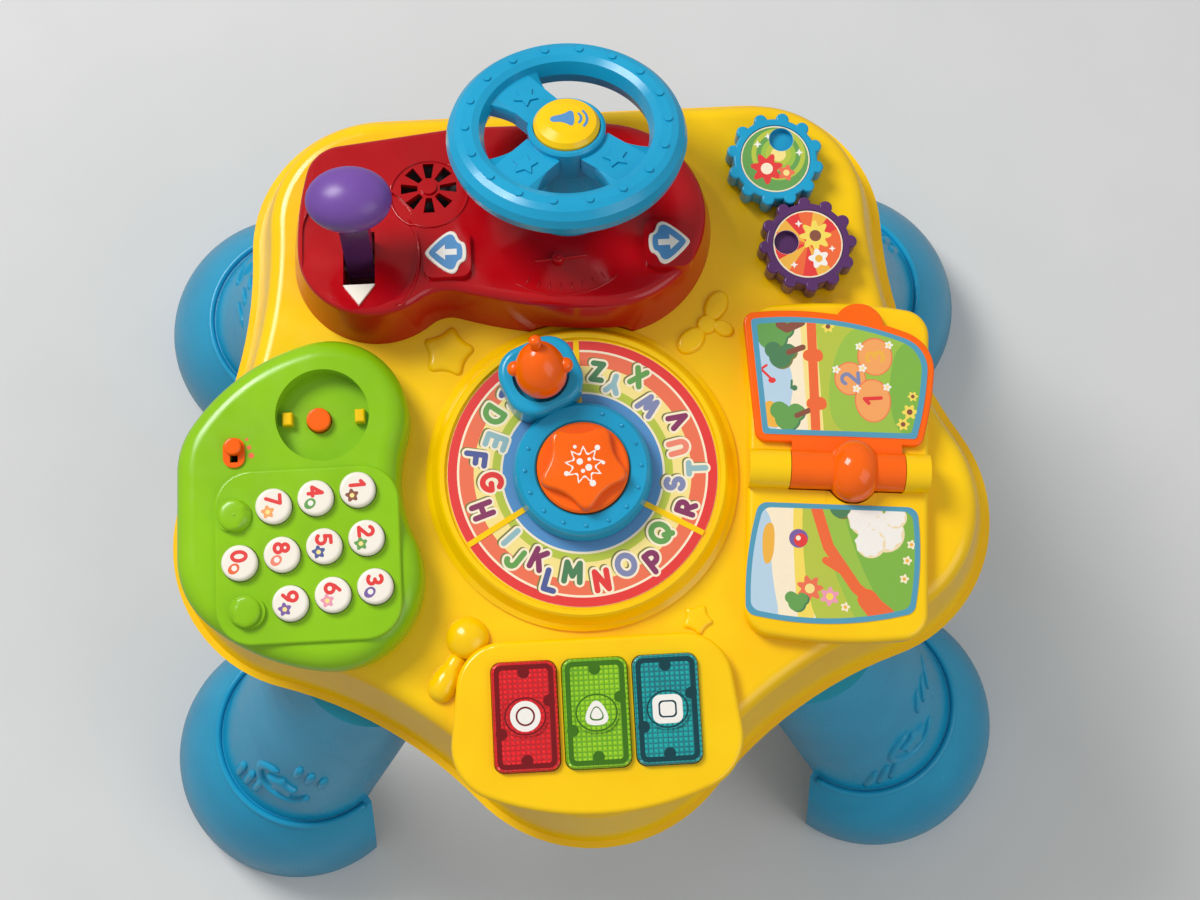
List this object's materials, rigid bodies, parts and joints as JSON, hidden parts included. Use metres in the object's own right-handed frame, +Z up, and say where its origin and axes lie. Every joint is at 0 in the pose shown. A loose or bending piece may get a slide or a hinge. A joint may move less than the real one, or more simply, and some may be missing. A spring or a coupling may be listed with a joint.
{
  "type": "musical activity table",
  "caption": "Toddler play table on four hollow legs, with a steering wheel, lever, gears, telephone keys, letter spinner, light keys and a turning picture page.",
  "frame": {"origin": "on the floor, at the middle of the four feet", "axes": "+X to the table's right, +Y away from the light keys, towards the steering wheel, +Z up"},
  "size_m": [0.48, 0.396, 0.3766],
  "materials": {
    "yellow": "gloss",
    "blue": "gloss",
    "red": "gloss",
    "green": "gloss",
    "orange": "gloss",
    "violet": "gloss",
    "plum": "gloss",
    "cream": "gloss",
    "clear_red": "translucent",
    "clear_green": "translucent",
    "clear_teal": "translucent",
    "print": "printed",
    "steel": "satin",
    "board": "matte",
    "dark": "matte",
    "rubber": "matte"
  },
  "bodies": {
    "table": {"top_shell": "yellow", "bottom_cover": "yellow", "leg_back_right": "blue", "leg_back_left": "blue", "leg_front_right": "blue", "leg_front_left": "blue", "letter_sheet": "print", "spinner_retainer": "blue", "dashboard": "red", "turn_sign_left": "cream", "turn_sign_right": "cream", "shift_marker": "cream", "speaker": "dark", "steering_column": "blue", "wheel_screw": "steel", "shifter_pin": "steel", "gear_posts": "cream", "phone_casing": "green", "volume_track": "orange", "cradle_catches": "yellow", "key_membrane": "rubber", "key_board": "board", "light_board": "board", "book_base": "yellow", "book_pin": "steel", "book_print": "print", "battery_door": "yellow", "batteries": "dark", "battery_contacts": "steel", "main_board": "board", "casing_screws": "steel"},
    "wheel": {"steering_wheel": "blue"},
    "horn": {"horn_button": "yellow"},
    "lever": {"shifter_stem": "plum", "shifter_knob": "violet"},
    "spinner": {"spinner": "blue", "pod_figure": "orange"},
    "star": {"star_button": "orange"},
    "light_red": {"light_button_red": "clear_red"},
    "light_green": {"light_button_green": "clear_green"},
    "light_teal": {"light_button_teal": "clear_teal"},
    "hook": {"hook_button": "orange"},
    "volume": {"volume_knob": "orange"},
    "gear_cyan": {"gear_cyan": "blue", "gear_cyan_print": "print"},
    "gear_purple": {"gear_purple": "plum", "gear_purple_print": "print"},
    "page": {"book_page": "orange", "page_print": "print"},
    "key_0": {"key_0": "cream"},
    "key_1": {"key_1": "cream"},
    "key_2": {"key_2": "cream"},
    "key_3": {"key_3": "cream"},
    "key_4": {"key_4": "cream"},
    "key_5": {"key_5": "cream"},
    "key_6": {"key_6": "cream"},
    "key_7": {"key_7": "cream"},
    "key_8": {"key_8": "cream"},
    "key_9": {"key_9": "cream"}
  },
  "joints": [
    {"name": "wheel_turn", "type": "hinge", "parent": "table", "child": "wheel", "pos_m": [0, 0.1235, 0.352], "axis": [0, 0.3746, 0.9272], "range_deg": [0, 90]},
    {"name": "horn_press", "type": "slide", "parent": "wheel", "child": "horn", "axis": [0, -0.3746, -0.9272], "range_m": [0, 0.0015], "stiffness_N_per_m": 300},
    {"name": "lever_shift", "type": "hinge", "parent": "table", "child": "lever", "pos_m": [-0.0945, 0.08, 0.309], "axis": [1, 0, 0], "range_deg": [0, 34]},
    {"name": "spinner_turn", "type": "hinge", "parent": "table", "child": "spinner", "pos_m": [0, -0.018, 0.31], "axis": [0, 0, 1], "continuous": true},
    {"name": "star_press", "type": "slide", "parent": "table", "child": "star", "axis": [0, 0, -1], "range_m": [0, 0.003], "stiffness_N_per_m": 400},
    {"name": "light_red_press", "type": "slide", "parent": "table", "child": "light_red", "axis": [0, 0, -1], "range_m": [0, 0.0022], "stiffness_N_per_m": 300},
    {"name": "light_green_press", "type": "slide", "parent": "table", "child": "light_green", "axis": [0, 0, -1], "range_m": [0, 0.0022], "stiffness_N_per_m": 300},
    {"name": "light_teal_press", "type": "slide", "parent": "table", "child": "light_teal", "axis": [0, 0, -1], "range_m": [0, 0.0022], "stiffness_N_per_m": 300},
    {"name": "key_0_press", "type": "slide", "parent": "table", "child": "key_0", "axis": [0, 0, -1], "range_m": [0, 0.0016], "stiffness_N_per_m": 250},
    {"name": "key_1_press", "type": "slide", "parent": "table", "child": "key_1", "axis": [0, 0, -1], "range_m": [0, 0.0016], "stiffness_N_per_m": 250},
    {"name": "key_2_press", "type": "slide", "parent": "table", "child": "key_2", "axis": [0, 0, -1], "range_m": [0, 0.0016], "stiffness_N_per_m": 250},
    {"name": "key_3_press", "type": "slide", "parent": "table", "child": "key_3", "axis": [0, 0, -1], "range_m": [0, 0.0016], "stiffness_N_per_m": 250},
    {"name": "key_4_press", "type": "slide", "parent": "table", "child": "key_4", "axis": [0, 0, -1], "range_m": [0, 0.0016], "stiffness_N_per_m": 250},
    {"name": "key_5_press", "type": "slide", "parent": "table", "child": "key_5", "axis": [0, 0, -1], "range_m": [0, 0.0016], "stiffness_N_per_m": 250},
    {"name": "key_6_press", "type": "slide", "parent": "table", "child": "key_6", "axis": [0, 0, -1], "range_m": [0, 0.0016], "stiffness_N_per_m": 250},
    {"name": "key_7_press", "type": "slide", "parent": "table", "child": "key_7", "axis": [0, 0, -1], "range_m": [0, 0.0016], "stiffness_N_per_m": 250},
    {"name": "key_8_press", "type": "slide", "parent": "table", "child": "key_8", "axis": [0, 0, -1], "range_m": [0, 0.0016], "stiffness_N_per_m": 250},
    {"name": "key_9_press", "type": "slide", "parent": "table", "child": "key_9", "axis": [0, 0, -1], "range_m": [0, 0.0016], "stiffness_N_per_m": 250},
    {"name": "hook_press", "type": "slide", "parent": "table", "child": "hook", "axis": [0, 0, -1], "range_m": [0, 0.002], "stiffness_N_per_m": 250},
    {"name": "volume_slide", "type": "slide", "parent": "table", "child": "volume", "axis": [0, -1, 0], "range_m": [0, 0.0046]},
    {"name": "gear_cyan_spin", "type": "hinge", "parent": "table", "child": "gear_cyan", "pos_m": [0.0955, 0.122, 0.305], "axis": [0, 0, 1], "continuous": true},
    {"name": "gear_purple_spin", "type": "hinge", "parent": "table", "child": "gear_purple", "pos_m": [0.1075, 0.081, 0.305], "axis": [0, 0, 1], "continuous": true},
    {"name": "page_turn", "type": "hinge", "parent": "table", "child": "page", "pos_m": [0.1134, -0.0235, 0.3113], "axis": [0.9962, -0.0872, 0], "range_deg": [0, 178]}
  ],
  "couplings": [
    {"joint": "gear_purple_spin", "follows": "gear_cyan_spin", "ratio": -1}
  ]
}
